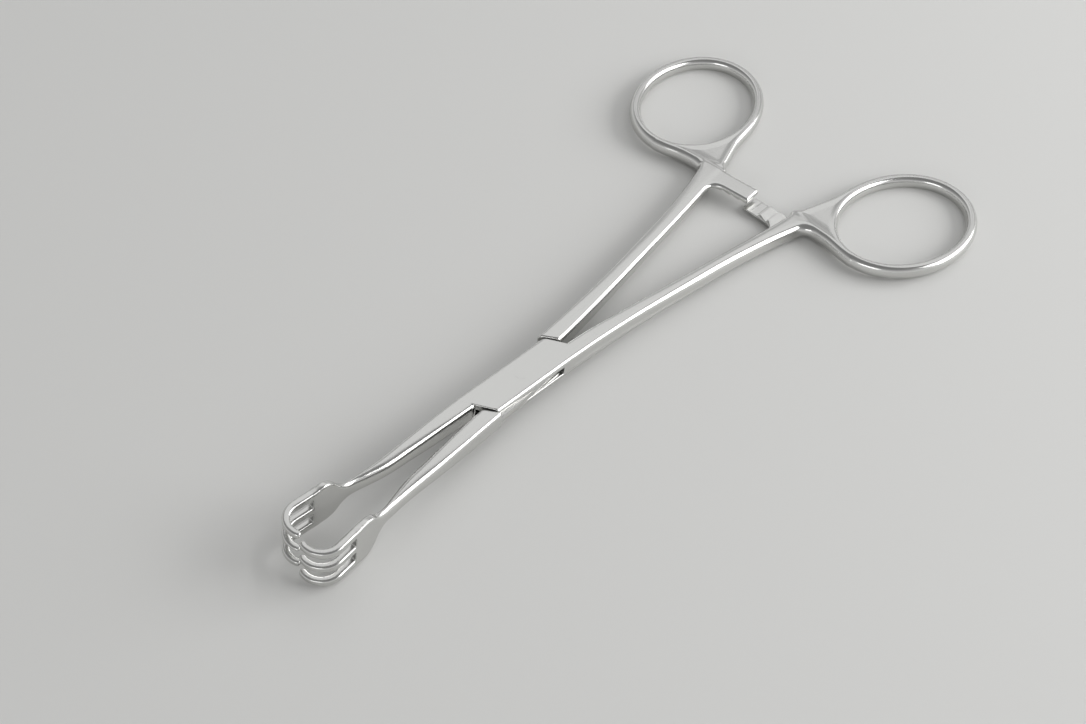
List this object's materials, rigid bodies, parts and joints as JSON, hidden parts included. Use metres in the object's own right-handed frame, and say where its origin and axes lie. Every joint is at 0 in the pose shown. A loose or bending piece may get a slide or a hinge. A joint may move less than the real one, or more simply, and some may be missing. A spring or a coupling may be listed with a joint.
{
  "type": "traction forceps",
  "caption": "Ring-handled surgical traction forceps with a box lock, a ratchet between the shanks and jaws that end in rows of inward-bent prongs.",
  "frame": {"origin": "on the pivot axis, in the plane of the flat underside of the box lock", "axes": "+X along the closing line from the jaws to the finger rings, +Y towards the ring of the tongue half, +Z along the pivot pin, up"},
  "size_m": [0.15, 0.0734, 0.0106],
  "materials": {
    "steel": "satin, polished on bevels and rings",
    "pin_steel": "satin, ground flush"
  },
  "bodies": {
    "box_side": {"box_half": "steel", "pivot_pin": "pin_steel"},
    "tongue_side": {"tongue_half": "steel"}
  },
  "joints": [
    {"name": "pivot", "type": "hinge", "parent": "box_side", "child": "tongue_side", "pos_m": [0, 0, 0.002], "axis": [0, 0, 1], "range_deg": [-5, 55]}
  ]
}
